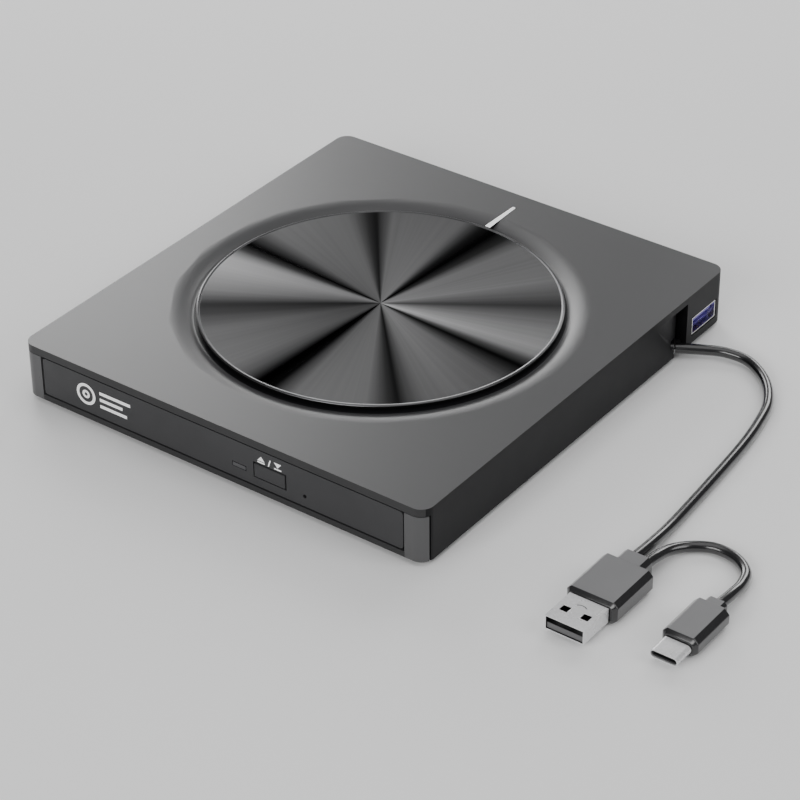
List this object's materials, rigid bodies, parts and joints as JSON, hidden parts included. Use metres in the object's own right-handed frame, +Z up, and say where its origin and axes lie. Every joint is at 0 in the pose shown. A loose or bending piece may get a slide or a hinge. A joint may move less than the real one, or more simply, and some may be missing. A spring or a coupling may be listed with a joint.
{
  "type": "external optical drive",
  "caption": "Slim external tray-loading optical drive with a spun metal disc in its lid, a side USB socket and a short captive lead with two plugs.",
  "frame": {"origin": "on the table under the middle of the housing, without the lead and its plugs", "axes": "+Z up; the tray opens towards -Y; the USB socket and the lead are on the +X side"},
  "size_m": [0.2213, 0.1562, 0.0192],
  "materials": {
    "shell": "satin graphite moulding",
    "frame": "satin dark grey moulding",
    "bezel": "satin black moulding",
    "spun_metal": "circular spun finish",
    "black_plastic": "matt",
    "white_plastic": "frosted",
    "rubber": "matt",
    "steel": "bright sheet",
    "board": "solder mask",
    "port_blue": "satin",
    "lead_jacket": "gloss",
    "plug_grip": "satin",
    "lens_glass": "polished",
    "copper": "lacquered",
    "chrome": "polished"
  },
  "bodies": {
    "housing": {"top_shell": "shell", "bottom_cover": "frame", "spun_disc": "spun_metal", "disc_carrier": "black_plastic", "pointer_window": "white_plastic", "foot_rear_left": "rubber", "foot_rear_right": "rubber", "foot_front_left": "rubber", "foot_front_right": "rubber", "case_screw_left": "chrome", "case_screw_right": "chrome", "drive_pan": "steel", "drive_cover": "steel", "guide_left": "steel", "guide_right": "steel", "latch_pin": "chrome", "drive_board": "board", "flex_ribbon": "copper", "sata_connector": "black_plastic", "bridge_board": "board", "sata_socket": "black_plastic", "usb_socket_shell": "chrome", "usb_socket_tongue": "port_blue", "strain_relief": "black_plastic", "lead": "lead_jacket", "lead_tail": "lead_jacket", "usb_a_grip": "plug_grip", "usb_a_shell": "chrome", "usb_a_insulator": "black_plastic", "usb_c_grip": "plug_grip", "usb_c_shell": "chrome", "usb_c_liner": "black_plastic"},
    "tray": {"tray": "black_plastic", "tray_bezel": "bezel", "led_lens": "white_plastic", "eject_switch": "black_plastic", "tray_belly_plate": "steel", "main_board": "board", "solenoid": "copper", "eject_rod": "chrome", "eject_spring": "chrome", "spindle_motor": "steel", "pickup_frame": "steel", "guide_rod_rear": "chrome", "guide_rod_front": "chrome", "sled_motor": "steel"},
    "rail_left": {"slide_rail_left": "steel"},
    "rail_right": {"slide_rail_right": "steel"},
    "eject_button": {"eject_button": "bezel"},
    "latch_lever": {"latch_lever": "steel"},
    "turntable": {"turntable": "black_plastic", "rubber_ring": "rubber"},
    "clamp_claw_1": {"clamp_claw_1": "chrome"},
    "clamp_claw_2": {"clamp_claw_2": "chrome"},
    "clamp_claw_3": {"clamp_claw_3": "chrome"},
    "pickup_sled": {"pickup_sled": "black_plastic"},
    "lens_holder": {"lens_holder": "black_plastic", "lens": "lens_glass"},
    "lead_screw": {"lead_screw": "chrome"}
  },
  "joints": [
    {"name": "tray_slide", "type": "slide", "parent": "housing", "child": "tray", "axis": [0, -1, 0], "range_m": [0, 0.128]},
    {"name": "rail_left_slide", "type": "slide", "parent": "housing", "child": "rail_left", "axis": [0, -1, 0], "range_m": [0, 0.065]},
    {"name": "rail_right_slide", "type": "slide", "parent": "housing", "child": "rail_right", "axis": [0, -1, 0], "range_m": [0, 0.065]},
    {"name": "eject_button_press", "type": "slide", "parent": "tray", "child": "eject_button", "axis": [0, 1, 0], "range_m": [0, 0.0007], "stiffness_N_per_m": 300, "springref_m": -0.0005},
    {"name": "latch_swing", "type": "hinge", "parent": "tray", "child": "latch_lever", "pos_m": [0.047, -0.052, 0.0065], "axis": [0, 0, 1], "range_deg": [0, 20]},
    {"name": "spindle_spin", "type": "hinge", "parent": "tray", "child": "turntable", "pos_m": [0, -0.0106, 0.01], "axis": [0, 0, 1], "continuous": true},
    {"name": "claw_1_slide", "type": "slide", "parent": "turntable", "child": "clamp_claw_1", "axis": [-1, 0, 0], "range_m": [0, 0.0005], "stiffness_N_per_m": 200, "springref_m": -0.0003},
    {"name": "claw_2_slide", "type": "slide", "parent": "turntable", "child": "clamp_claw_2", "axis": [0.5, -0.866, 0], "range_m": [0, 0.0005], "stiffness_N_per_m": 200, "springref_m": -0.0003},
    {"name": "claw_3_slide", "type": "slide", "parent": "turntable", "child": "clamp_claw_3", "axis": [0.5, 0.866, 0], "range_m": [0, 0.0005], "stiffness_N_per_m": 200, "springref_m": -0.0003},
    {"name": "sled_slide", "type": "slide", "parent": "tray", "child": "pickup_sled", "axis": [-0.7071, -0.7071, 0], "range_m": [0, 0.034]},
    {"name": "lead_screw_spin", "type": "hinge", "parent": "tray", "child": "lead_screw", "pos_m": [-0.03606, -0.01696, 0.0066], "axis": [-0.7071, -0.7071, 0], "range_deg": [0, 4200]},
    {"name": "lens_focus", "type": "slide", "parent": "pickup_sled", "child": "lens_holder", "axis": [0, 0, 1], "range_m": [-0.0004, 0.0004], "stiffness_N_per_m": 60}
  ],
  "couplings": [
    {"joint": "rail_left_slide", "follows": "tray_slide", "ratio": 0.5},
    {"joint": "rail_right_slide", "follows": "tray_slide", "ratio": 0.5},
    {"joint": "lead_screw_spin", "follows": "sled_slide", "rad_per_m": 2094.4}
  ]
}
